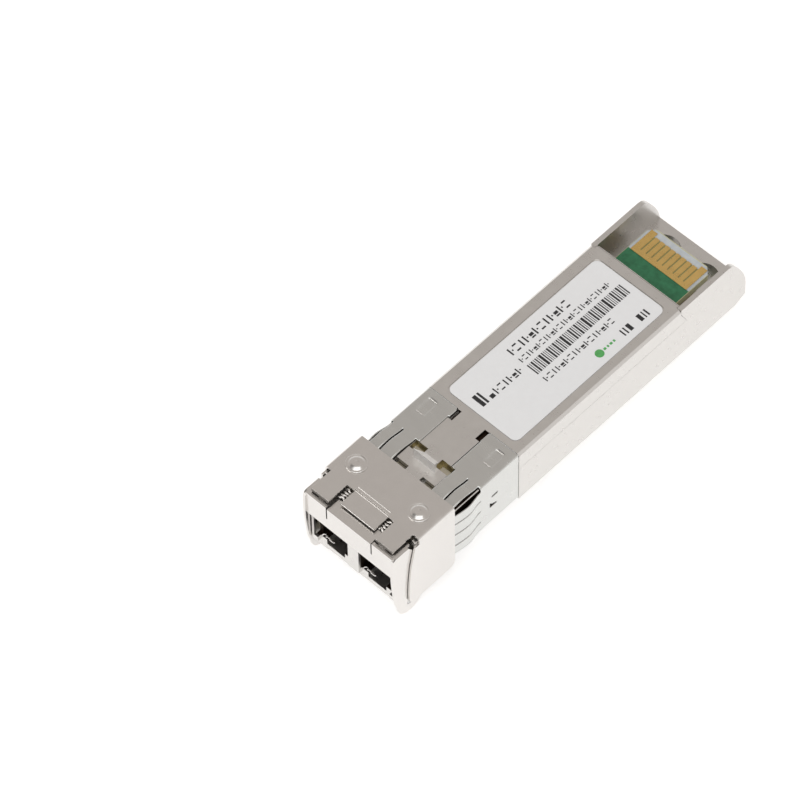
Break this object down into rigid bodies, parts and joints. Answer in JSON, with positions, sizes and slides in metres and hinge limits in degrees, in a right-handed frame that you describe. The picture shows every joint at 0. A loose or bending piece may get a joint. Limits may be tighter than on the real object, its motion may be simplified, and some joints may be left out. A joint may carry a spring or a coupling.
{
  "type": "optical transceiver module",
  "caption": "Slim pluggable optical transceiver: die-cast shell, spring collar, duplex fibre ports, bail latch with slider, and a board edge in an open rear bay.",
  "frame": {"origin": "centre of the module's box in X and Y, at the level of its lowest point, the bail's two round lobes", "axes": "+X across the module to the right seen from the fibre ports, +Y from the fibre ports towards the board edge at the rear, +Z from the underside towards the latch side and label"},
  "size_m": [0.0142, 0.0574, 0.0133],
  "materials": {
    "nickel_plated_zinc": "satin nickel plating on a zinc casting",
    "bright_nickel": "bright nickel plating",
    "stainless_sheet": "rolled stainless spring sheet",
    "turned_steel": "turned, plain",
    "zirconia": "polished ceramic",
    "gold_plating": "thin hard gold plating",
    "polyimide": "amber film",
    "green_solder_mask": "semi-matt green solder mask on glass-epoxy board",
    "moulded_epoxy": "matt black",
    "thermal_silicone": "matt soft pad",
    "label_stock": "white satin label film"
  },
  "bodies": {
    "module": {"base_housing": "nickel_plated_zinc", "top_cover": "nickel_plated_zinc", "lc_receptacle": "nickel_plated_zinc", "head_cover": "bright_nickel", "cover_rivet_left": "bright_nickel", "cover_rivet_right": "bright_nickel", "emi_collar": "stainless_sheet", "return_spring": "stainless_sheet", "optics_clamp": "stainless_sheet", "shell_screw_left": "turned_steel", "shell_screw_right": "turned_steel", "pivot_pin_left": "turned_steel", "pivot_pin_right": "turned_steel", "tosa_barrel": "turned_steel", "rosa_barrel": "turned_steel", "tosa_sleeve": "zirconia", "rosa_sleeve": "zirconia", "tosa_header": "gold_plating", "rosa_header": "gold_plating", "tosa_flex": "polyimide", "rosa_flex": "polyimide", "pcb": "green_solder_mask", "contacts_top": "gold_plating", "contacts_bottom": "gold_plating", "laser_driver_chip": "moulded_epoxy", "receiver_chip": "moulded_epoxy", "microcontroller": "moulded_epoxy", "power_inductor": "moulded_epoxy", "thermal_pad": "thermal_silicone", "label": "label_stock"},
    "slider": {"latch_slider": "stainless_sheet"},
    "bail": {"bail_lever": "bright_nickel"}
  },
  "joints": [
    {"name": "bail_hinge", "type": "hinge", "parent": "module", "child": "bail", "pos_m": [0, -0.02602, 0.00187], "axis": [1, 0, 0], "range_deg": [0, 90]},
    {"name": "slider_slide", "type": "slide", "parent": "module", "child": "slider", "axis": [0, -1, 0], "range_m": [0, 0.00127], "stiffness_N_per_m": 100, "springref_m": -0.003, "deforming": ["return_spring"]}
  ],
  "couplings": [
    {"joint": "bail_hinge", "follows": "slider_slide", "rad_per_m": 1234.1}
  ]
}
